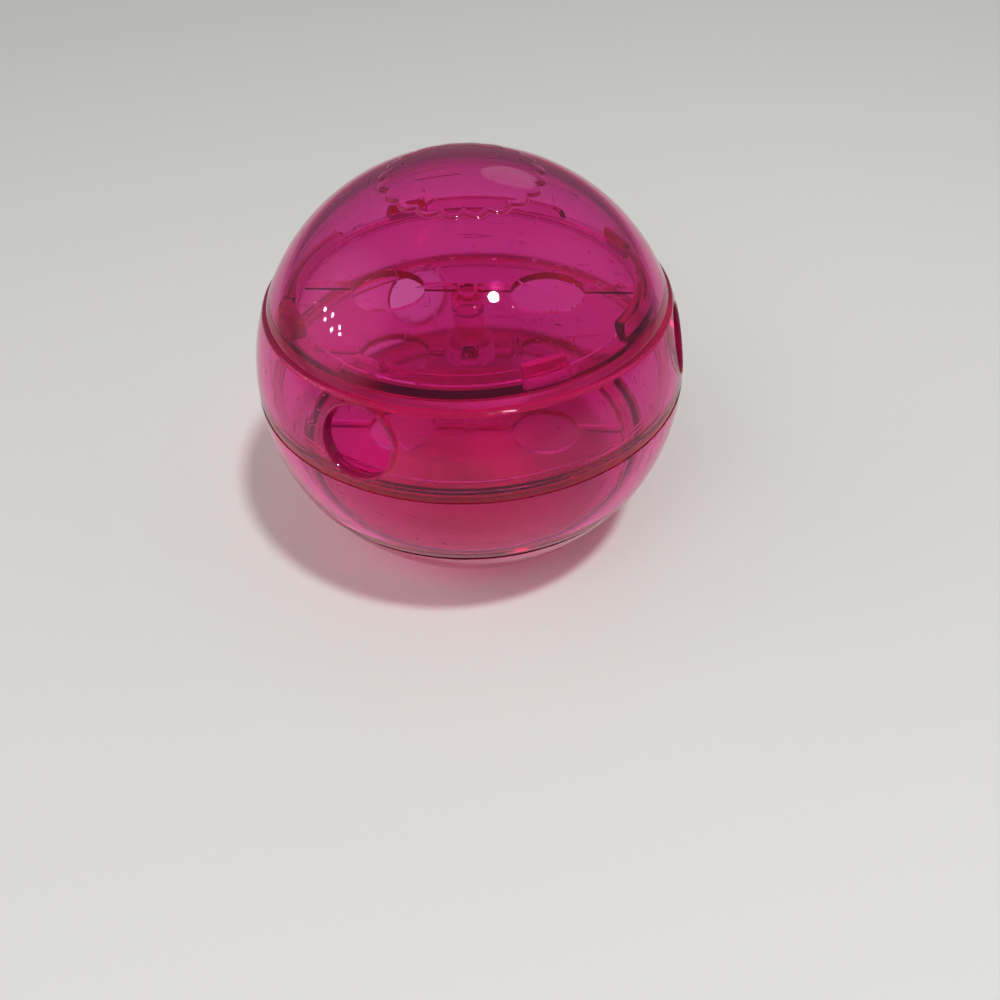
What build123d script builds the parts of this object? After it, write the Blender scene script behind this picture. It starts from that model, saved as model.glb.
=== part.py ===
from build123d import *
from math import asin, cos, degrees, radians, sin, sqrt
import os

# Treat dispensing ball: a hollow ball of clear plastic, in millimetres.
# Heights are counted from the ball's middle plane and lifted at the end,
# so that the origin is at the centre of the foot. The front is -Y.

# Shells
ball_radius = 38.0             # outside of the two rings
cap_step = 0.4                 # the caps lie this far inside the rings' sphere
wall = 2.2                     # every shell
seam_share = 0.3895            # top of the upper ring above the middle plane, of the ball's radius
lower_seam_share = 0.4263      # bottom of the lower ring below the middle plane, of the ball's radius
seam_gap = 0.3                 # turning gap under the top cap
foot_share = 0.21              # flat that the ball stands on, of the ball's radius

# Dispensing holes, azimuths from the front towards +X
upper_hole_azimuths = (-30.0, 79.0)
lower_hole_azimuth = -162.5
hole_web = 1.1                 # wall left above and below a hole
hole_round_share = 0.35        # rounding of a hole's outer edge, of the web
rim_round_share = 0.45         # rounding of a ring's outer rim, of the web

# Baffles
baffle_thickness = 1.3
baffle_hole_share = 0.1684     # hole radius, of the ball's radius
baffle_hole_offset_share = 0.3605   # hole centre from the axis, of the ball's radius
baffle_turn = -6.4             # direction of the rib, from +X
rib_width = 1.1
rib_height = 1.1
rim_inset = 0.15               # a baffle's edge lies this far inside the outline
register_height = 1.0          # lip that centres a ring or cap on a baffle
register_wall = 1.2
register_clearance = 0.2

# Centre post, and the hub of the upper baffle that turns on it
post_radius = 2.6
post_share = 0.753             # height of the hub's seat, of the room between the baffles
post_foot_flare = 1.8          # foot's radius beyond the post's
post_foot_share = 0.29         # height of the foot, of the room between the baffles
post_round = 0.6               # edges of the post's foot and top
tenon_shoulder = 0.9           # step from the post down to its tenons
tenon_clearance = 0.06         # running fit of the hub on the post
tenon_end = 0.5                # part of a tenon past its baffle
hub_flare = 0.3                # hub's radius beyond the post's
seat_gap = 0.05                # between flat faces that turn or lift

# Shutter ring, which turns with the upper baffle
cap_clearance = 0.3            # from the top cap's inside
flange_drop = 0.1              # flange below the seam
flange_lip = 0.3               # flange inside the drive tabs
flange_thickness = 0.9
collar_rise = 3.5              # collar segments, from the flange's underside
collar_wall = 1.4
corner_round = 1.4             # upper corners of the collar segments
upper_edge_inset = 1.1         # upper baffle's edge inside the flange's

# Drive tabs under the top cap, between the collar segments
tab_count = 4
tab_azimuth = 21.5
tab_width = 7.0
tab_depth = 3.2                # from the cap's inside at its base
tab_height = 3.0
tab_clearance = 0.3            # to the driven end of a collar segment
slot_play = 22.0               # free angle that lets a tab find its slot

# Bare pad on the crown
pad_share = 0.35               # pad's radius, of the ball's radius
pad_rise = 0.35
scallop_count = 20
scallop_depth = 0.9

# Derived sizes
seam_height = ball_radius * seam_share
lower_seam_depth = ball_radius * lower_seam_share
foot_radius = ball_radius * foot_share
baffle_hole_radius = ball_radius * baffle_hole_share
baffle_hole_offset = ball_radius * baffle_hole_offset_share
pad_radius = ball_radius * pad_share
cap_radius = ball_radius - cap_step
ring_inner_radius = ball_radius - wall
cap_inner_radius = cap_radius - wall
half_baffle = baffle_thickness / 2
lower_joint = -lower_seam_depth - baffle_thickness
cap_base = seam_height + seam_gap
foot_drop = sqrt(cap_radius**2 - foot_radius**2)
overrun = wall                 # length of every cut past the solid

collar_radius = cap_inner_radius - cap_clearance
flange_low = seam_height - flange_drop
flange_high = flange_low + flange_thickness
tab_inner_radius = sqrt(cap_inner_radius**2 - cap_base**2) - tab_depth
flange_inner_radius = tab_inner_radius - flange_lip
rib_reach = flange_inner_radius - tab_clearance
upper_baffle_radius = sqrt(collar_radius**2 - flange_low**2) - upper_edge_inset

tenon_radius = post_radius - tenon_shoulder
post_foot_radius = post_radius + post_foot_flare
hub_radius = post_radius + hub_flare
post_room = flange_low - baffle_thickness - half_baffle
foot_top = half_baffle + post_room * post_foot_share
post_top = half_baffle + post_room * post_share
hub_low = post_top + seat_gap

hole_low_angle = asin(half_baffle / ball_radius) + hole_web / ball_radius
hole_high_angle = asin(seam_height / ball_radius) - hole_web / ball_radius
hole_elevation = degrees((hole_low_angle + hole_high_angle) / 2)
hole_radius = ball_radius * sin((hole_high_angle - hole_low_angle) / 2)


def heading(azimuth, elevation=0):
    # direction seen from the ball's centre, azimuth from the front towards +X
    level = cos(radians(elevation))
    return Vector(sin(radians(azimuth)) * level, -cos(radians(azimuth)) * level, sin(radians(elevation)))


def at(radius, height):
    # point of a sphere's outline at a height
    return (sqrt(radius**2 - height**2), height)


def turned(shape, azimuth):
    # a shape drawn along +X, turned to an azimuth
    return Rot(0, 0, azimuth - 90) * shape


def spun(edges, sweep=360):
    return revolve(Plane.XZ * make_face(edges), Axis.Z, revolution_arc=sweep)


def zone(outer_radius, inner_radius, low, high, sweep=360):
    # band of a hollow sphere between two heights
    middle = (low + high) / 2
    return spun([
        ThreePointArc(at(outer_radius, low), at(outer_radius, middle), at(outer_radius, high)),
        Line(at(outer_radius, high), at(inner_radius, high)),
        ThreePointArc(at(inner_radius, high), at(inner_radius, middle), at(inner_radius, low)),
        Line(at(inner_radius, low), at(outer_radius, low)),
    ], sweep)


def bar(inner, outer, width, low, high):
    # block along +X between two radii, centred on the X axis
    block = Box(outer - inner, width, high - low)
    return Pos((inner + outer) / 2, 0, (low + high) / 2) * block


def drum(radius, low, high):
    return Pos(0, 0, (low + high) / 2) * Cylinder(radius, high - low)


def rounded_rim(shell, end):
    # rounds the outer edge of a ring's end: -1 is its top and 0 its bottom
    rim = shell.edges().filter_by(GeomType.CIRCLE).group_by(Axis.Z)[end]
    return fillet(rim.sort_by(SortBy.RADIUS)[-1:], hole_web * rim_round_share)


def hole_cutter(azimuth, elevation):
    # bore that points away from the ball's centre, with a mouth that is rounded at the ball's surface
    mouth_round = hole_web * hole_round_share
    mouth_radius = hole_radius + mouth_round
    surface = sqrt(ball_radius**2 - mouth_radius**2)
    start = ring_inner_radius - wall
    bend = surface - mouth_round
    elbow = (mouth_radius - mouth_round * cos(radians(45)), bend + mouth_round * sin(radians(45)))
    bore = spun([
        Line((0, start), (hole_radius, start)),
        Line((hole_radius, start), (hole_radius, bend)),
        ThreePointArc((hole_radius, bend), elbow, (mouth_radius, surface)),
        Line((mouth_radius, surface), (mouth_radius, ball_radius + overrun)),
        Line((mouth_radius, ball_radius + overrun), (0, ball_radius + overrun)),
        Line((0, ball_radius + overrun), (0, start)),
    ])
    return Plane((0, 0, 0), z_dir=heading(azimuth, elevation)) * bore


def upper_ring():
    ring = zone(ball_radius, ring_inner_radius, half_baffle, seam_height)
    ring = rounded_rim(ring, -1)
    for azimuth in upper_hole_azimuths:
        ring = ring - hole_cutter(azimuth, hole_elevation)
    return ring


def lower_ring():
    ring = zone(ball_radius, ring_inner_radius, -lower_seam_depth, -half_baffle)
    return rounded_rim(ring, 0) - hole_cutter(lower_hole_azimuth, -hole_elevation)


def bottom_cap():
    low = at(cap_radius, lower_joint)
    inner = at(cap_inner_radius, lower_joint)
    side = radians(-45)
    return spun([
        ThreePointArc((foot_radius, -foot_drop), (cap_radius * cos(side), cap_radius * sin(side)), low),
        Line(low, inner),
        ThreePointArc(inner, (cap_inner_radius * cos(side), cap_inner_radius * sin(side)), (0, -cap_inner_radius)),
        Line((0, -cap_inner_radius), (0, -foot_drop)),
        Line((0, -foot_drop), (foot_radius, -foot_drop)),
    ])


def crown_pad():
    # scalloped outline cut out of a thin spherical layer
    points = []
    for number in range(2 * scallop_count + 1):
        radius = pad_radius if number % 2 else pad_radius - scallop_depth
        angle = radians(number * 180 / scallop_count)
        points.append((radius * cos(angle), radius * sin(angle)))
    arcs = [ThreePointArc(*points[first:first + 3]) for first in range(0, 2 * scallop_count, 2)]
    prism = extrude(make_face(arcs), amount=ball_radius + overrun)
    layer = Sphere(cap_radius + pad_rise) - Sphere(cap_radius - wall / 2)
    return prism & layer


def drive_tab():
    # block on the cap's inside that stands between two collar segments
    low = flange_high + seat_gap
    block = bar(tab_inner_radius, cap_radius, tab_width, low, low + tab_height)
    return block & Sphere(cap_radius - wall / 2)


def top_cap():
    low = at(cap_radius, cap_base)
    inner = at(cap_inner_radius, cap_base)
    side = radians(45)
    cap = spun([
        ThreePointArc(low, (cap_radius * cos(side), cap_radius * sin(side)), (0, cap_radius)),
        Line((0, cap_radius), (0, cap_inner_radius)),
        ThreePointArc((0, cap_inner_radius), (cap_inner_radius * cos(side), cap_inner_radius * sin(side)), inner),
        Line(inner, low),
    ])
    cap = cap + crown_pad()
    for number in range(tab_count):
        cap = cap + turned(drive_tab(), tab_azimuth + number * 360 / tab_count)
    return cap


def baffle_pattern(plate, top):
    # two holes on a line and the rib that runs through them
    plate = plate + bar(-rib_reach, rib_reach, rib_width, top - half_baffle, top + rib_height)
    for side in (-1, 1):
        low = top - baffle_thickness - overrun
        cutter = drum(baffle_hole_radius, low, top + rib_height + overrun)
        plate = plate - Pos(side * baffle_hole_offset, 0, 0) * cutter
    return Rot(0, 0, baffle_turn) * plate


def register(shell_inner_radius, low, high):
    # lip that lies just inside a shell
    outer = shell_inner_radius - register_clearance
    return zone(outer, outer - register_wall, low, high)


def middle_baffle():
    plate = drum(ball_radius - rim_inset, -half_baffle, half_baffle)
    plate = plate + register(ring_inner_radius, 0, half_baffle + register_height)
    plate = plate + register(ring_inner_radius, -half_baffle - register_height, 0)
    plate = baffle_pattern(plate, half_baffle)
    plate = plate - drum(post_foot_radius + tab_clearance, half_baffle, half_baffle + rib_height + overrun)
    return plate - drum(tenon_radius + tenon_clearance, -half_baffle - overrun, half_baffle + overrun)


def lower_baffle():
    edge = cap_radius - rim_inset
    top = -lower_seam_depth
    plate = spun([
        ThreePointArc(at(edge, lower_joint), at(edge, lower_joint + half_baffle), at(edge, top)),
        Line(at(edge, top), (0, top)),
        Line((0, top), (0, lower_joint)),
        Line((0, lower_joint), at(edge, lower_joint)),
    ])
    middle = lower_joint + half_baffle
    plate = plate + register(ring_inner_radius, middle, top + register_height)
    plate = plate + register(cap_inner_radius, lower_joint - register_height, middle)
    return baffle_pattern(plate, top)


def upper_baffle():
    low = flange_low - baffle_thickness
    plate = drum(upper_baffle_radius, low, flange_low)
    plate = baffle_pattern(plate, flange_low)
    plate = plate + drum(hub_radius, hub_low, low + half_baffle)
    return plate - drum(tenon_radius + tenon_clearance, hub_low - overrun, flange_low + overrun)


def centre_post():
    # turned outline: tenon, foot, column with a rounded top, pivot
    low = -half_baffle - tenon_end
    high = flange_low + tenon_end
    post = spun([
        Polyline(
            (0, low),
            (tenon_radius, low),
            (tenon_radius, half_baffle),
            (post_foot_radius, half_baffle),
            (post_foot_radius, foot_top),
            (post_radius, foot_top),
            (post_radius, post_top),
            (tenon_radius, post_top),
            (tenon_radius, high),
            (0, high),
            close=True,
        )
    ])
    rims = post.edges().filter_by(GeomType.CIRCLE).group_by(SortBy.RADIUS)
    foot_rim = rims[-1].sort_by(Axis.Z)[-1:]
    top_rim = rims[-2].sort_by(Axis.Z)[-1:]
    return fillet(foot_rim + top_rim, post_round)


def collar_segment(span):
    # piece of a spherical wall, centred on +X, with its upper corners rounded
    flap = zone(collar_radius, collar_radius - collar_wall, flange_low, flange_low + collar_rise, span)
    corners = flap.edges().filter_by(GeomType.LINE).group_by(Axis.Z)[-1]
    return Rot(0, 0, -span / 2) * fillet(corners, corner_round)


def shutter_ring():
    # flange on the upper baffle, with collar segments above it
    middle = (flange_low + flange_high) / 2
    ring = spun([
        Line((flange_inner_radius, flange_low), at(collar_radius, flange_low)),
        ThreePointArc(at(collar_radius, flange_low), at(collar_radius, middle), at(collar_radius, flange_high)),
        Line(at(collar_radius, flange_high), (flange_inner_radius, flange_high)),
        Line((flange_inner_radius, flange_high), (flange_inner_radius, flange_low)),
    ])
    half_tab = degrees(asin((tab_width / 2 + tab_clearance) / tab_inner_radius))
    segment_span = 360 / tab_count - 2 * half_tab - slot_play
    segment = collar_segment(segment_span)
    for number in range(tab_count):
        driven_end = tab_azimuth - half_tab + number * 360 / tab_count
        ring = ring + turned(segment, driven_end - segment_span / 2)
    return ring


pieces = {
    "bottom_cap": bottom_cap(),
    "lower_baffle": lower_baffle(),
    "lower_ring": lower_ring(),
    "middle_baffle": middle_baffle(),
    "centre_post": centre_post(),
    "upper_ring": upper_ring(),
    "upper_baffle": upper_baffle(),
    "shutter_ring": shutter_ring(),
    "top_cap": top_cap(),
}

os.makedirs("parts", exist_ok=True)
for name, piece in pieces.items():
    export_step(Pos(0, 0, foot_drop) * piece, f"parts/{name}.step")
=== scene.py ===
import bmesh
import bpy
import numpy as np
from mathutils import Matrix


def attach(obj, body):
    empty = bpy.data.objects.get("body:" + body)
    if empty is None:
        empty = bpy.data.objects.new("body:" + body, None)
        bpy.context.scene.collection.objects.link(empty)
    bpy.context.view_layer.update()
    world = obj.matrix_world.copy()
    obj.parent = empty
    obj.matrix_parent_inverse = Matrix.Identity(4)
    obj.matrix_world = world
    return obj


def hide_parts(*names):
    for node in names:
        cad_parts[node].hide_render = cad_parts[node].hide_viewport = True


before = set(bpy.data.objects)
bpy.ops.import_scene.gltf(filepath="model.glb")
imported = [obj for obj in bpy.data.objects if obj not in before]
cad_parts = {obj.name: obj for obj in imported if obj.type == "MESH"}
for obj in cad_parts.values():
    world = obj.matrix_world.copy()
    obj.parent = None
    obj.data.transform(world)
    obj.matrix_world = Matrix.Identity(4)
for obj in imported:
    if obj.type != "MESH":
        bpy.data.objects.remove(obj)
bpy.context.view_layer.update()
print("frame loaded,", len(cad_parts), "nodes")

# sizes shared by the shells, mm, heights from the ball's middle
ball = {
    "radius": 38.0,
    "capRadius": 37.6,
    "wall": 2.2,
    "seam": 14.801,
    "capBase": 15.101,
    "lowerSeam": -16.199,
    "lowerJoint": -17.499,
    "halfBaffle": 0.65,
    "lift": 36.7434,          # middle of the ball above the floor
    "lap": 0.03,              # faces that lie on each other pass this far over, so that no line shows
}


def outlineRun(radius, low, high, count=300):
    # part of a circle about the ball's middle: r is the root of R squared less z squared
    angle = np.linspace(np.arcsin(low / radius), np.arcsin(high / radius), count)
    return np.stack([radius * np.cos(angle), radius * np.sin(angle)], 1)


def easedProfile(runs, counts, eases, closed=True):
    # runs joined end to end, each resampled evenly by length; every corner becomes a parabola
    # that leaves and meets its runs one ease away from the corner
    last = len(runs) - 1
    middles = []
    for number, run in enumerate(runs):
        run = np.asarray(run, float)
        length = np.r_[0, np.cumsum(np.linalg.norm(np.diff(run, axis=0), axis=1))]
        before = eases[number - 1] if closed or number else 0
        after = eases[number] if closed or number < last else 0
        where = np.linspace(before, length[-1] - after, counts[number])
        middles.append(np.stack([np.interp(where, length, run[:, k]) for k in (0, 1)], 1))
    whole = []
    for number, middle in enumerate(middles):
        whole.append(middle)
        if closed or number < last:
            corner = np.asarray(runs[number][-1], float)
            t = np.linspace(0, 1, 8)[1:-1, None]
            nextStart = middles[(number + 1) % len(middles)][0]
            whole.append((1 - t)**2 * middle[-1] + 2 * t * (1 - t) * corner + t**2 * nextStart)
    if closed:
        whole.append(middles[0][:1])
    return np.concatenate(whole)


def around(azimuth, r, z):
    # azimuth counts from the front (-Y) towards +X: x = r sin, y = -r cos
    azimuth, r, z = np.broadcast_arrays(np.radians(azimuth), r, z)
    return np.stack([r * np.sin(azimuth), -r * np.cos(azimuth), z], -1)


def spunSheet(profile, columns):
    # a profile (r, z) carried round the axis
    return around(np.asarray(columns)[:, None], profile[None, :, 0], profile[None, :, 1])


def fullTurn(count):
    return np.linspace(0, 360, count + 1)


def pieceFromSheets(name, sheets, sharpAngle=32):
    # each sheet is a grid of points, with the quads to keep where it has gaps;
    # shared edges are welded, collapsed quads become triangles, and faces turn outwards
    points, quads, start = [], [], 0
    for sheet in sheets:
        grid, keep = sheet if isinstance(sheet, tuple) else (sheet, None)
        rows, cols = grid.shape[:2]
        k = np.arange(rows * cols).reshape(rows, cols) + start
        quad = np.stack([k[:-1, :-1], k[1:, :-1], k[1:, 1:], k[:-1, 1:]], -1)
        quads.append(quad.reshape(-1, 4) if keep is None else quad[keep])
        points.append(grid.reshape(-1, 3))
        start += rows * cols
    points, quads = np.concatenate(points), np.concatenate(quads)
    merged = np.round(points, 4) + 0.0
    first, index = np.unique(merged, axis=0, return_index=True, return_inverse=True)[1:]
    points, quads = points[first], index.reshape(-1)[quads]
    same = quads == np.roll(quads, -1, 1)
    crossed = (quads[:, 0] == quads[:, 2]) | (quads[:, 1] == quads[:, 3])
    whole = quads[(same.sum(1) == 0) & ~crossed]
    folded = (same.sum(1) == 1) & ~crossed
    triangles = quads[folded][~same[folded]].reshape(-1, 3)
    points = (points + (0, 0, ball["lift"])) * 0.001
    mesh = bpy.data.meshes.new(name)
    mesh.from_pydata(points.tolist(), [], whole.tolist() + triangles.tolist())
    work = bmesh.new()
    work.from_mesh(mesh)
    bmesh.ops.delete(work, geom=[v for v in work.verts if not v.link_faces], context="VERTS")
    bmesh.ops.recalc_face_normals(work, faces=work.faces)
    openEdges = sum(1 for edge in work.edges if len(edge.link_faces) != 2)
    volume = work.calc_volume(signed=True)
    if volume < 0:
        bmesh.ops.reverse_faces(work, faces=work.faces)
    work.to_mesh(mesh)
    work.free()
    mesh.shade_smooth()
    mesh.set_sharp_from_angle(angle=np.radians(sharpAngle))
    piece = bpy.data.objects.new(name, mesh)
    bpy.context.scene.collection.objects.link(piece)
    print(name, len(mesh.polygons), "faces,", openEdges, "open edges,", round(abs(volume) * 1e9), "mm3")
    return piece


def wayTo(azimuth, elevation):
    # unit vector; azimuth counts as in around, elevation from the level
    a, e = np.radians(azimuth), np.radians(elevation)
    return np.array([np.sin(a) * np.cos(e), -np.cos(a) * np.cos(e), np.sin(e)])


def feed(tree, socket, value):
    # a value is a constant or another node's output
    if isinstance(value, bpy.types.NodeSocket):
        tree.links.new(value, socket)
    else:
        socket.default_value = value


def calc(tree, operation, *values):
    step = tree.nodes.new("ShaderNodeMath")
    step.operation = operation
    for socket, value in zip(step.inputs, values):
        feed(tree, socket, value)
    return step.outputs["Value"]


def vectorCalc(tree, operation, *values):
    step = tree.nodes.new("ShaderNodeVectorMath")
    step.operation = operation
    for socket, value in zip(step.inputs, values):
        feed(tree, socket, value)
    return step.outputs["Value" if operation in ("DISTANCE", "LENGTH", "DOT_PRODUCT") else "Vector"]


def ranged(tree, value, low, high, toLow=0.0, toHigh=1.0, soft=False):
    step = tree.nodes.new("ShaderNodeMapRange")
    step.interpolation_type = "SMOOTHSTEP" if soft else "LINEAR"
    feed(tree, step.inputs["Value"], value)
    for label, number in (("From Min", low), ("From Max", high), ("To Min", toLow), ("To Max", toHigh)):
        step.inputs[label].default_value = number
    return step.outputs["Result"]


def blended(tree, share, first, second):
    step = tree.nodes.new("ShaderNodeMix")
    step.data_type = "RGBA"
    feed(tree, step.inputs["Factor"], share)
    feed(tree, step.inputs["A"], first)
    feed(tree, step.inputs["B"], second)
    return step.outputs["Result"]


# clear pink plastic: a glossy skin over a body that takes green and some blue out of the light; metres
plastic = {
    "absorbColour": (0.958, 0.04, 0.69, 1),
    "mirrorTint": (1.0, 0.62, 0.86, 1),          # its reflections are a little pink
    "shadowFace": (0.79, 0.83, 0.81, 1),
    "shadowEdge": (0.55, 0.52, 0.52, 1),
    "shadowSlant": (0.55, 0.95),                 # from facing the lamp to grazing it
    "seamHeight": 0.0535, "seamReach": 0.0022,   # where the flat faces of the seam and the tabs lie
    "levelFaces": (0.93, 0.99),                  # upward part of a level face's normal
    "rimHeight": 0.05145, "rimReach": 0.0005,    # the seam's rim
    "padStep": 0.037725, "padReach": 0.0001,     # the pad's edge, between the dome and the pad
    "crownHeight": 0.07,
    "holeReach": 0.0065,                         # a hole's wall, from the hole's axis
    "holeAxes": ((-30.0, 11.95), (79.0, 11.95), (-162.5, -11.95)),
    # painted shade: the seam's rim, the pad's edge and the holes' walls are tinted dark red and let less light
    # through, standing in for the dark red of light seen through them
    "cutPaintedClear": 0.7,                             # how clear these painted dark red edges stay
    "cutPaintedShade": (0.68, 0.02, 0.15, 1),
    "edgeReach": 0.0372,                         # baffle edges, from the ball's middle
    "edgePaintedShade": (0.80, 0.02, 0.07, 1),           # painted shade: dark red standing in for light that comes a long way through the plate
    "scratchScales": ((60, 900, 500), (800, 70, 620), (420, 880, 75)),
    "scratchTurns": ((0.0, 0.7, 0.0), (0.4, 1.6, 0.9), (0.8, 2.5, 1.8)),
    "scratchCrest": (0.74, 0.80),
    "grooveStrength": 0.14, "grooveDepth": 0.0003,
}


def clearPlastic(name, smooth, scratched, rim, density=540.0, bend=1.5, plate=False, shell=False):
    # roughness of the skin, its scratches and the flat faces at the seam; density per metre
    material = bpy.data.materials.new(name)
    material.use_nodes = True
    tree = material.node_tree
    tree.nodes.clear()
    node, link = tree.nodes.new, tree.links.new
    output = node("ShaderNodeOutputMaterial")
    skin = node("ShaderNodeBsdfPrincipled")
    skin.inputs["Transmission Weight"].default_value = 1.0
    skin.inputs["IOR"].default_value = bend
    skin.inputs["Specular Tint"].default_value = plastic["mirrorTint"]
    coords = node("ShaderNodeTexCoord")
    here = coords.outputs["Object"]
    place = node("ShaderNodeSeparateXYZ")
    link(here, place.inputs["Vector"])
    height = place.outputs["Z"]

    # hairline scratches: stretched noise, cut to its thin crests
    hairlines = None
    for turned, scale in zip(plastic["scratchTurns"], plastic["scratchScales"]):
        stretch = node("ShaderNodeMapping")
        stretch.inputs["Rotation"].default_value = turned
        stretch.inputs["Scale"].default_value = scale
        noise = node("ShaderNodeTexNoise")
        noise.inputs["Scale"].default_value = 1.0
        noise.inputs["Detail"].default_value = 1.0
        link(here, stretch.inputs["Vector"])
        link(stretch.outputs["Vector"], noise.inputs["Vector"])
        crest = ranged(tree, noise.outputs["Fac"], *plastic["scratchCrest"])
        hairlines = crest if hairlines is None else calc(tree, "MAXIMUM", hairlines, crest)
    groove = node("ShaderNodeBump")
    groove.invert = True
    groove.inputs["Strength"].default_value = plastic["grooveStrength"]
    groove.inputs["Distance"].default_value = plastic["grooveDepth"]
    link(hairlines, groove.inputs["Height"])
    link(groove.outputs["Normal"], skin.inputs["Normal"])

    facingUp = node("ShaderNodeSeparateXYZ")
    link(coords.outputs["Normal"], facingUp.inputs["Vector"])
    level = ranged(tree, calc(tree, "ABSOLUTE", facingUp.outputs["Z"]), *plastic["levelFaces"])
    atSeam = calc(tree, "COMPARE", height, plastic["seamHeight"], plastic["seamReach"])
    finish = node("ShaderNodeMix")
    finish.inputs["B"].default_value = rim
    link(calc(tree, "MULTIPLY", level, atSeam), finish.inputs["Factor"])
    link(ranged(tree, hairlines, 0.0, 1.0, smooth, scratched), finish.inputs["A"])
    link(finish.outputs["Result"], skin.inputs["Roughness"])

    middle = (0, 0, ball["lift"] * 0.001)
    if plate:                                    # painted shade: a baffle's outer edge is tinted dark red
        onEdge = calc(tree, "GREATER_THAN", vectorCalc(tree, "DISTANCE", here, middle), plastic["edgeReach"])
        link(blended(tree, onEdge, (1, 1, 1, 1), plastic["edgePaintedShade"]), skin.inputs["Base Color"])
    elif shell:                                  # painted shade: the seam's rim, pad's edge and holes' walls get a dark red tint and less transmission
        offset = vectorCalc(tree, "SUBTRACT", here, middle)
        reach = vectorCalc(tree, "LENGTH", offset)
        onStep = calc(tree, "COMPARE", reach, plastic["padStep"], plastic["padReach"])
        onCrown = calc(tree, "GREATER_THAN", height, plastic["crownHeight"])
        onRim = calc(tree, "COMPARE", height, plastic["rimHeight"], plastic["rimReach"])
        cut = calc(tree, "MAXIMUM", onRim, calc(tree, "MULTIPLY", onStep, onCrown))
        for azimuth, elevation in plastic["holeAxes"]:
            axis = tuple(wayTo(azimuth, elevation))
            away = vectorCalc(tree, "LENGTH", vectorCalc(tree, "CROSS_PRODUCT", offset, axis))
            near = calc(tree, "LESS_THAN", away, plastic["holeReach"])
            ahead = calc(tree, "GREATER_THAN", vectorCalc(tree, "DOT_PRODUCT", offset, axis), 0.0)
            cut = calc(tree, "MAXIMUM", cut, calc(tree, "MULTIPLY", near, ahead))
        link(ranged(tree, cut, 0.0, 1.0, 1.0, plastic["cutPaintedClear"]), skin.inputs["Transmission Weight"])
        link(blended(tree, cut, (1, 1, 1, 1), plastic["cutPaintedShade"]), skin.inputs["Base Color"])
    else:
        skin.inputs["Base Color"].default_value = (1, 1, 1, 1)

    # shadow rays pass tinted, so the shadow is pink and dark at its edge
    passing = node("ShaderNodeBsdfTransparent")
    facing = node("ShaderNodeLayerWeight")
    facing.inputs["Blend"].default_value = 0.5
    slant = ranged(tree, facing.outputs["Facing"], *plastic["shadowSlant"])
    link(blended(tree, slant, plastic["shadowFace"], plastic["shadowEdge"]), passing.inputs["Color"])
    path = node("ShaderNodeLightPath")
    choose = node("ShaderNodeMixShader")
    link(path.outputs["Is Shadow Ray"], choose.inputs["Fac"])
    link(skin.outputs["BSDF"], choose.inputs[1])
    link(passing.outputs["BSDF"], choose.inputs[2])
    link(choose.outputs["Shader"], output.inputs["Surface"])
    body = node("ShaderNodeVolumeAbsorption")
    body.inputs["Color"].default_value = plastic["absorbColour"]
    body.inputs["Density"].default_value = density
    link(body.outputs["Volume"], output.inputs["Volume"])
    return material


clearPink = clearPlastic("clearPink", 0.02, 0.16, 0.45, shell=True)   # flat rims come unpolished from the mould
innerPink = clearPlastic("innerPink", 0.06, 0.16, 0.06, plate=True)   # inner pieces are a little less polished
postPink = clearPlastic("postPink", 0.15, 0.2, 0.15, 170.0, 1.13)     # shows only faintly


def dress(piece, body, node, finish=clearPink):
    piece.data.materials.append(finish)
    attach(piece, body)
    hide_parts(node)


# bottom cap: inner bowl, top rim, outer bowl, flat foot
bowl = {"rimEase": 0.06, "footEase": 0.5, "columns": 240}


def bottomCap():
    inner = ball["capRadius"] - ball["wall"]
    top = ball["lowerJoint"] + ball["lap"]
    inside = outlineRun(inner, -inner, top)
    foot = ball["lap"] - ball["lift"]             # just clear of the floor
    outside = outlineRun(ball["capRadius"], top, foot)
    profile = easedProfile(
        [inside, [inside[-1], outside[0]], outside, [outside[-1], (0, foot)]],
        [56, 4, 56, 10], [bowl["rimEase"], bowl["rimEase"], bowl["footEase"]], closed=False)
    profile[0, 0] = 0
    return pieceFromSheets("bottomCapShell", [spunSheet(profile, fullTurn(bowl["columns"]))])


dress(bottomCap(), "base", "bottom_cap")

# rings: bands of the hollow ball on both sides of the middle line, with round holes
holes = {
    "elevation": 11.951,      # degrees above or below the middle line
    "radius": 6.1495,
    "mouthRound": 0.385,
    "patchHalf": 15.0,        # degrees of a band on each side of a hole that bend round it
    "gridHalf": 26,
    "gridHole": 15,
    "plainStep": 3.2,
}


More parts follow.
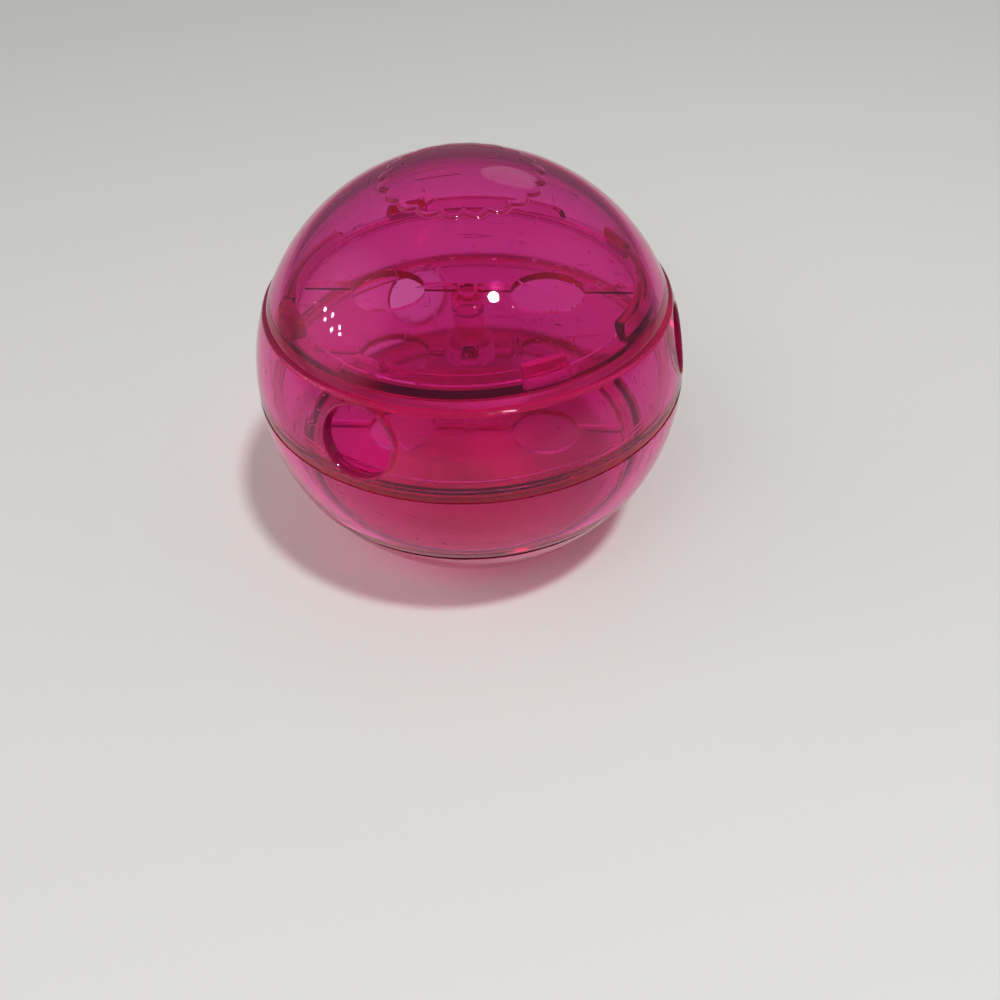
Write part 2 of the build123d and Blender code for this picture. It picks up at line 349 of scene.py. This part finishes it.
def holedRing(name, low, high, azimuths, elevation, eases):
    # near a hole the grid's squares widen into circles: each point lies on the line from the hole's
    # edge to the patch's edge at the same bearing, drawn back to the sphere
    half, hole, patchHalf = holes["gridHalf"], holes["gridHole"], holes["patchHalf"]
    columns, patchStarts = [], []
    for azimuth, following in zip(azimuths, [*azimuths[1:], azimuths[0] + 360]):
        patchStarts.append(sum(len(c) for c in columns))
        columns.append(azimuth + patchHalf * np.arange(-half, half + 1) / half)
        start, end = azimuth + patchHalf, following - patchHalf
        columns.append(np.linspace(start, end, round((end - start) / holes["plainStep"]) + 1)[1:-1])
    columns = np.concatenate(columns + [[azimuths[0] - patchHalf + 360]])
    rowsUp = np.arange(-half, half + 1) / half
    across, up = np.meshgrid(np.arange(-half, half + 1), np.arange(-half, half + 1), indexing="ij")
    size = np.maximum(np.abs(across), np.abs(up))
    safeAcross, safeUp = np.where(across == 0, 1, across), np.where(up == 0, 1, up)
    sideways = np.abs(across) >= np.abs(up)
    bearing = np.where(
        sideways,
        np.where(across >= 0, 0, np.pi) + np.pi / 4 * up / safeAcross,
        np.where(up > 0, np.pi / 2, 1.5 * np.pi) - np.pi / 4 * across / safeUp)
    share = np.clip((size - hole) / (half - hole), 0, 1)[..., None]
    safeSize = np.maximum(size, 1)

    def axes(azimuth):
        out, a = wayTo(azimuth, elevation), np.radians(azimuth)
        east = np.array([np.cos(a), np.sin(a), 0])
        return out, east, np.cross(out, east)

    def band(radius, openRadius, lowAngle, highAngle):
        mid, reach = (lowAngle + highAngle) / 2, (highAngle - lowAngle) / 2
        rowAngle = mid + reach * rowsUp
        grid = around(columns[:, None], radius * np.cos(rowAngle)[None], radius * np.sin(rowAngle)[None])
        keep = np.ones((len(columns) - 1, 2 * half), bool)
        opening = np.arcsin(openRadius / radius)
        for azimuth, begin in zip(azimuths, patchStarts):
            out, east, north = axes(azimuth)
            ring = out * np.cos(opening) + np.sin(opening) * (
                east * np.cos(bearing)[..., None] + north * np.sin(bearing)[..., None])
            angle = mid + reach * up / safeSize
            edge = around(azimuth + patchHalf * across / safeSize, np.cos(angle), np.sin(angle))
            way = ring * (1 - share) + edge * share
            way = way / np.linalg.norm(way, axis=-1, keepdims=True)
            grid[begin:begin + 2 * half + 1] = radius * way
            keep[begin + half - hole:begin + half + hole, half - hole:half + hole] = False
        grid[-1] = grid[0]
        return grid, keep

    inner = ball["radius"] - ball["wall"]
    outside = outlineRun(ball["radius"], low, high)
    inside = outlineRun(inner, high, low)
    runs = [outside, [outside[-1], inside[0]], inside, [inside[-1], outside[0]]]
    loop = easedProfile(runs, [2, 4, 2, 4], eases)
    # loop order: 2 points outside, 6 of the corner, 4 of the top, 6 of the corner, 2 inside, 6, 4 of the base,
    # 6, and the first again
    angles = np.arctan2(loop[:, 1], loop[:, 0])
    ends = np.array([0, 1, 18, 19, 36])
    onSphere = np.where(np.isin(ends, (18, 19)), inner, ball["radius"])
    loop[ends] = np.stack([onSphere * np.cos(angles[ends]), onSphere * np.sin(angles[ends])], 1)
    mouth = holes["radius"] + holes["mouthRound"]
    sheets = [
        band(ball["radius"], mouth, angles[0], angles[1]),
        band(inner, holes["radius"], angles[19], angles[18]),
        spunSheet(loop[1:19], columns),
        spunSheet(loop[19:], columns),
    ]
    turn = np.arange(8 * hole + 1) * np.pi / 4 / hole
    surface = np.sqrt(ball["radius"]**2 - mouth**2)
    bend = surface - holes["mouthRound"]
    arc = np.radians(np.linspace(90, 0, 8))
    along = np.r_[bend + holes["mouthRound"] * np.sin(arc),
                  np.linspace(bend, np.sqrt(inner**2 - holes["radius"]**2), 5)[1:]]
    off = np.r_[mouth - holes["mouthRound"] * np.cos(arc), np.full(4, holes["radius"])]
    for azimuth in azimuths:   # bore of each hole, with its rounded mouth
        out, east, north = axes(azimuth)
        spoke = east * np.cos(turn)[:, None] + north * np.sin(turn)[:, None]
        sheets.append(out * along[None, :, None] + spoke[:, None] * off[None, :, None])
    return pieceFromSheets(name, sheets)


ringRim = {"round": 0.62, "ease": 0.05, "upperHoles": (-30.0, 79.0), "lowerHoles": (-162.5,)}
plateFace = ball["halfBaffle"] - ball["lap"]
upperEases = [ringRim["round"], ringRim["ease"], ringRim["ease"], ringRim["ease"]]
dress(holedRing("upperRingShell", plateFace, ball["seam"], ringRim["upperHoles"],
                holes["elevation"], upperEases), "base", "upper_ring")
lowerEases = [ringRim["ease"], ringRim["ease"], ringRim["ease"], ringRim["round"]]
dress(holedRing("lowerRingShell", ball["lowerSeam"] - ball["lap"], -plateFace, ringRim["lowerHoles"],
                -holes["elevation"], lowerEases), "base", "lower_ring")

# centre post: tenon, foot, column with a rounded top, pivot
post = {
    "tenonRadius": 1.7, "footRadius": 4.4, "radius": 2.6,
    "low": -1.15, "footTop": 4.348, "top": 10.251, "high": 15.201, "ease": 0.5, "columns": 72,
}


def centrePost():
    seat = ball["halfBaffle"] - ball["lap"]
    corners = [
        (0, post["low"]), (post["tenonRadius"], post["low"]),
        (post["tenonRadius"], seat), (post["footRadius"], seat),
        (post["footRadius"], post["footTop"]), (post["radius"], post["footTop"]),
        (post["radius"], post["top"]), (post["tenonRadius"], post["top"]),
        (post["tenonRadius"], post["high"]), (0, post["high"]),
    ]
    runs = [corners[k:k + 2] for k in range(len(corners) - 1)]
    eases = [0.2, 0.1, 0.15, post["ease"], 0.3, post["ease"], 0.1, 0.2]
    profile = easedProfile(runs, [4] * len(runs), eases, closed=False)
    return pieceFromSheets("centrePostShape", [spunSheet(profile, fullTurn(post["columns"]))])


dress(centrePost(), "base", "centre_post", postPink)

# shutter ring: flat flange with curved collar segments above it
shutter = {
    "flangeInner": 28.54, "flangeLow": 14.701, "flangeHigh": 15.601,
    "collarOuter": 35.1, "collarInner": 33.7, "collarTop": 18.201,
    "collarEnd": 13.93, "collarSpan": 52.86, "collarCount": 4,
    "cornerRound": 1.4,
}


def shutterRing():
    p = shutter
    low, high = p["flangeLow"] - ball["lap"], p["flangeHigh"]
    near = np.array([0, 0.15, 0.4, 0.8, 1.3, 1.9, 2.5])
    ends = [p["collarEnd"] + 360 / p["collarCount"] * k for k in range(p["collarCount"])]
    collars = [(end - p["collarSpan"], end) for end in ends]
    columns = [np.arange(0, 360, 1.5)]
    for begin, end in collars:
        columns += [begin + near, end - near]
    columns = np.unique(np.round(np.concatenate(columns) % 360, 5))
    columns = np.r_[columns, columns[0] + 360]

    def at(radius, z):
        return np.sqrt(radius**2 - z**2)

    def strip(*corners):
        return spunSheet(np.array(corners, float), columns)

    middle = (columns[:-1] + columns[1:]) / 2
    free = ~np.any([(middle - begin) % 360 < end - begin for begin, end in collars], axis=0)
    sheets = [
        strip((p["flangeInner"], low), (at(p["collarOuter"], low), low)),
        strip((at(p["collarOuter"], low), low), (at(p["collarOuter"], (low + high) / 2), (low + high) / 2),
              (at(p["collarOuter"], high), high)),
        (strip((at(p["collarOuter"], high), high), (at(p["collarInner"], high), high)), free[:, None]),
        strip((at(p["collarInner"], high), high), (p["flangeInner"], high)),
        strip((p["flangeInner"], high), (p["flangeInner"], low)),
    ]
    for begin, end in collars:
        # wall between two spheres; its top draws back along a quarter circle at both ends
        inside = columns[:-1][(columns[:-1] - begin + 1e-4) % 360 <= end - begin + 2e-4]
        inside = np.sort((inside - begin + 1e-4) % 360 - 1e-4 + begin)
        edge = np.minimum(inside - begin, end - inside) * np.pi / 180 * at(p["collarInner"], p["collarTop"])
        gone = np.clip(p["cornerRound"] - edge, 0, p["cornerRound"])
        reach = p["collarTop"] - p["cornerRound"] + np.sqrt(p["cornerRound"]**2 - gone**2)
        z = high + (reach[:, None] - high) * np.linspace(0, 1, 14)[None]
        innerWall = around(inside[:, None], at(p["collarInner"], z), z)
        outerWall = around(inside[:, None], at(p["collarOuter"], z), z)
        sheets += [innerWall, outerWall, np.stack([innerWall[:, -1], outerWall[:, -1]], 1),
                   np.stack([innerWall[0], outerWall[0]]), np.stack([innerWall[-1], outerWall[-1]])]
    return pieceFromSheets("shutterRingShape", sheets)


dress(shutterRing(), "shutter", "shutter_ring", innerPink)

# top cap: dome with a bare scalloped pad on the crown and four drive tabs inside
dome = {
    "padRadius": 13.3, "scallopDepth": 0.9, "scallops": 20, "padRise": 0.25, "padEdge": 0.5,
    "tabAzimuth": 21.5, "tabCount": 4, "tabInner": 28.84, "tabHalf": 3.5,
    "tabLow": 15.651, "tabHigh": 18.651,
    "rimEase": 0.35, "innerEase": 0.25,
}


def topCap():
    p = dome
    outer, inner = ball["capRadius"], ball["capRadius"] - ball["wall"]
    tabHalf = np.degrees(np.arcsin(p["tabHalf"] / p["tabInner"]))
    tabs = [p["tabAzimuth"] + 360 / p["tabCount"] * k for k in range(p["tabCount"])]
    columns = [np.arange(0, 360, 1.0)]
    for tab in tabs:
        columns.append(tab + tabHalf * np.array([-1, -0.5, 0.5, 1]))
        columns.append(tab + np.array([-1, 1]) * (tabHalf + 0.05))
    columns = np.unique(np.round(np.concatenate(columns) % 360, 5))
    columns = np.r_[columns, columns[0] + 360]
    # outside: polar radius r runs to the scalloped edge, steps down across it, then eases back to circles
    wave = np.abs(np.sin(np.radians(columns) * p["scallops"] / 2))
    edge = (p["padRadius"] - p["scallopDepth"] + p["scallopDepth"] * wave)[:, None]
    t = np.linspace(0, 1, 16)[None]
    onPad = t * (edge - p["padEdge"] / 2)
    s = np.linspace(-1, 1, 7)[None, 1:]
    overEdge = edge + s * p["padEdge"] / 2
    beyond = p["padRadius"] + 2.5
    blend = np.linspace(0, 1, 7)[None, 1:]
    pastEdge = (edge + p["padEdge"] / 2) * (1 - blend) + beyond * blend
    corner = outlineRun(outer, ball["capBase"], np.sqrt(outer**2 - beyond**2))
    runs = [corner[::-1], [corner[0], (np.sqrt(inner**2 - ball["capBase"]**2), ball["capBase"])],
            outlineRun(inner, ball["capBase"], ball["capBase"] + 1)]
    profile = easedProfile(runs, [52, 4, 2], [p["rimEase"], p["innerEase"]], closed=False)
    r = np.concatenate([onPad, overEdge, pastEdge], 1)
    fall = np.concatenate([np.zeros(16), (np.linspace(-1, 1, 7)[1:] + 1) / 2, np.ones(6)])
    radius = outer + p["padRise"] * (1 - fall * fall * (3 - 2 * fall))
    crown = around(columns[:, None], r, np.sqrt(radius[None]**2 - r**2))
    rest = spunSheet(profile[:-1], columns)       # profile[-2] is the first point on the inner wall
    start = profile[-2, 1]
    # inside: the sphere, pushed in to a flat face over each tab
    step = 0.012
    zRows = np.r_[np.linspace(start, p["tabLow"] - step, 4), np.linspace(p["tabLow"], p["tabHigh"], 6),
                  p["tabHigh"] + step]
    top = np.arcsin(zRows[-1] / inner)
    zRows = np.r_[zRows, inner * np.sin(np.linspace(top, np.pi / 2, 42)[1:])]
    wall = np.sqrt(np.maximum(inner**2 - zRows**2, 0))
    wall[-1] = 0
    rIn = np.repeat(wall[None], len(columns), 0)
    rowIn = (zRows > p["tabLow"] - step / 2) & (zRows < p["tabHigh"] + step / 2)
    for tab in tabs:
        off = (columns - tab + 180) % 360 - 180
        here = np.abs(off) < tabHalf + 0.02
        rIn[np.ix_(here, rowIn)] = (p["tabInner"] / np.cos(np.radians(off[here])))[:, None]
    hollow = around(columns[:, None], rIn, np.repeat(zRows[None], len(columns), 0))
    return pieceFromSheets("topCapShell", [crown, rest, hollow])


dress(topCap(), "cap", "top_cap")

for nodeName in ("upper_baffle", "middle_baffle", "lower_baffle"):   # flat plates keep their solids
    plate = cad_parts[nodeName]
    plate.data.materials.clear()
    plate.data.materials.append(innerPink)
print("pieces dressed")

# pale floor with a painted pool of light, painted darker further off; soft lamps and an even surround
studio = {
    # the floor's painted pool of light: pale near the ball, painted shade further off
    "floorNear": (0.80, 0.80, 0.77, 1),
    "floorPaintedShade": (0.42, 0.42, 0.41, 1),
    "paintedPoolCentre": (0.01, 0.11, 0.0),  # metres
    "paintedPoolReach": (0.23, 0.225),
    "paintedPoolFade": (1.1, 6.0),
    "floorRough": 0.4, "floorGloss": 0.3,
    "floorSize": 6.0,
    "horizon": (0.21, 0.21, 0.21, 1),
    "zenith": (0.20, 0.20, 0.20, 1),
    "skyRise": (0.15, 0.85),
    "windowEdge": (0.80, 0.98),
    "windows": (                      # soft bright zones: way, colour
        ((-0.913, -0.032, 0.407), (0.90, 0.88, 0.86, 1)),
        ((0.819, -0.029, 0.574), (0.4, 0.4, 0.4, 1)),
    ),
}


def paleFloor():
    # a flat square grid, z = 0
    line = np.linspace(-studio["floorSize"] / 2, studio["floorSize"] / 2, 13)
    x, y = np.meshgrid(line, line, indexing="ij")
    k = np.arange(x.size).reshape(x.shape)
    quads = np.stack([k[:-1, :-1], k[1:, :-1], k[1:, 1:], k[:-1, 1:]], -1).reshape(-1, 4)
    mesh = bpy.data.meshes.new("paleFloor")
    mesh.from_pydata(np.stack([x.ravel(), y.ravel(), np.zeros(x.size)], 1).tolist(), [], quads.tolist())
    floor = bpy.data.objects.new("paleFloor", mesh)
    bpy.context.scene.collection.objects.link(floor)
    material = bpy.data.materials.new("paleFloor")
    material.use_nodes = True
    tree = material.node_tree
    skin = tree.nodes["Principled BSDF"]
    coords = tree.nodes.new("ShaderNodeTexCoord")
    paintedLightPool = tree.nodes.new("ShaderNodeMapping")   # painted pool of light: a rounded box of pale floor, painted darker further off
    paintedLightPool.vector_type = "TEXTURE"
    paintedLightPool.inputs["Location"].default_value = studio["paintedPoolCentre"]
    paintedLightPool.inputs["Scale"].default_value = (*studio["paintedPoolReach"], 1)
    tree.links.new(coords.outputs["Object"], paintedLightPool.inputs["Vector"])
    squared = vectorCalc(tree, "MULTIPLY", paintedLightPool.outputs["Vector"], paintedLightPool.outputs["Vector"])
    away = vectorCalc(tree, "LENGTH", vectorCalc(tree, "MULTIPLY", squared, squared))
    fade = ranged(tree, away, *studio["paintedPoolFade"], soft=True)
    tree.links.new(blended(tree, fade, studio["floorNear"], studio["floorPaintedShade"]), skin.inputs["Base Color"])
    skin.inputs["Roughness"].default_value = studio["floorRough"]
    skin.inputs["Specular IOR Level"].default_value = studio["floorGloss"]
    mesh.materials.append(material)


paleFloor()

# azimuth and elevation in degrees, distance and size in metres, watts, lights the floor, is mirrored
lamps = {
    "highFront": (28.4, 63.6, 1.0, 0.09, 5.1, True, True),
    "softFront": (-25.0, 42.0, 1.2, 0.90, 3.7, True, False),
    "backRight": (163.0, 33.0, 1.3, 0.40, 0.20, False, True),
    "leftSpotA": (-98.4, 21.1, 1.2, 0.04, 0.12, False, True),
    "leftSpotB": (-92.2, 23.7, 1.2, 0.04, 0.12, False, True),
    "leftSpotC": (-94.5, 19.3, 1.2, 0.035, 0.10, False, True),
    "leftSpotD": (-87.4, 19.9, 1.2, 0.045, 0.14, False, True),
    "leftSpotE": (-83.7, 23.9, 1.2, 0.035, 0.10, False, True),
    "leftSpotF": (-81.5, 22.1, 1.2, 0.04, 0.12, False, True),
}
for lampName, (azimuth, elevation, distance, size, watts, lights, mirrored) in lamps.items():
    data = bpy.data.lights.new(lampName, "AREA")
    data.shape = "DISK"
    data.size = size
    data.energy = watts
    lamp = bpy.data.objects.new(lampName, data)
    lamp.visible_diffuse = lights
    lamp.visible_glossy = mirrored
    lamp.visible_transmission = lamp.visible_camera = False
    way = wayTo(azimuth, elevation)
    side = np.cross((0, 0, 1), way)
    side = side / np.linalg.norm(side)
    turn = np.eye(4)
    turn[:3, 0], turn[:3, 1], turn[:3, 2] = side, np.cross(way, side), way
    turn[:3, 3] = way * distance + (0, 0, ball["lift"] * 0.001)
    lamp.matrix_world = Matrix(turn.tolist())
    bpy.context.scene.collection.objects.link(lamp)

world = bpy.data.worlds.new("evenSurround")
bpy.context.scene.world = world
world.use_nodes = True
tree = world.node_tree
backdrop = tree.nodes["Background"]
sky = tree.nodes.new("ShaderNodeTexCoord")
height = tree.nodes.new("ShaderNodeSeparateXYZ")
tree.links.new(sky.outputs["Generated"], height.inputs["Vector"])
rise = ranged(tree, height.outputs["Z"], *studio["skyRise"], soft=True)
surround = blended(tree, rise, studio["horizon"], studio["zenith"])
for windowWay, windowColour in studio["windows"]:
    toWindow = vectorCalc(tree, "DOT_PRODUCT", sky.outputs["Generated"], windowWay)
    glow = ranged(tree, toWindow, *studio["windowEdge"], soft=True)
    surround = blended(tree, glow, surround, windowColour)
tree.links.new(surround, backdrop.inputs["Color"])
backdrop.inputs["Strength"].default_value = 1.0

# camera fitted to the photograph's outline: place and axes in the ball's frame, mm
view = {
    "place": (0.0, -167.916, 116.606),
    "right": (0.99865892, -0.04689531, -0.02193619),
    "down": (-0.04763834, -0.66644908, -0.74402702),
    "ahead": (0.02027202, 0.74407422, -0.66778934),
    "lens": 40.32,
}
cameraData = bpy.data.cameras.new("photoView")
cameraData.lens = view["lens"]
cameraData.sensor_width = 36.0
cameraData.clip_start = 0.005
camera = bpy.data.objects.new("photoView", cameraData)
bpy.context.scene.collection.objects.link(camera)
pose = np.eye(4)
pose[:3, 0], pose[:3, 1], pose[:3, 2] = view["right"], -np.array(view["down"]), -np.array(view["ahead"])
pose[:3, 3] = (np.array(view["place"]) + (0, 0, ball["lift"])) * 0.001
camera.matrix_world = Matrix(pose.tolist())
bpy.context.scene.camera = camera

scene = bpy.context.scene
scene.view_settings.view_transform = "Standard"
scene.cycles.max_bounces = 40
scene.cycles.transmission_bounces = 40
scene.cycles.glossy_bounces = 12
scene.cycles.transparent_max_bounces = 64
scene.cycles.caustics_reflective = False
scene.cycles.caustics_refractive = True

print("scene ready")
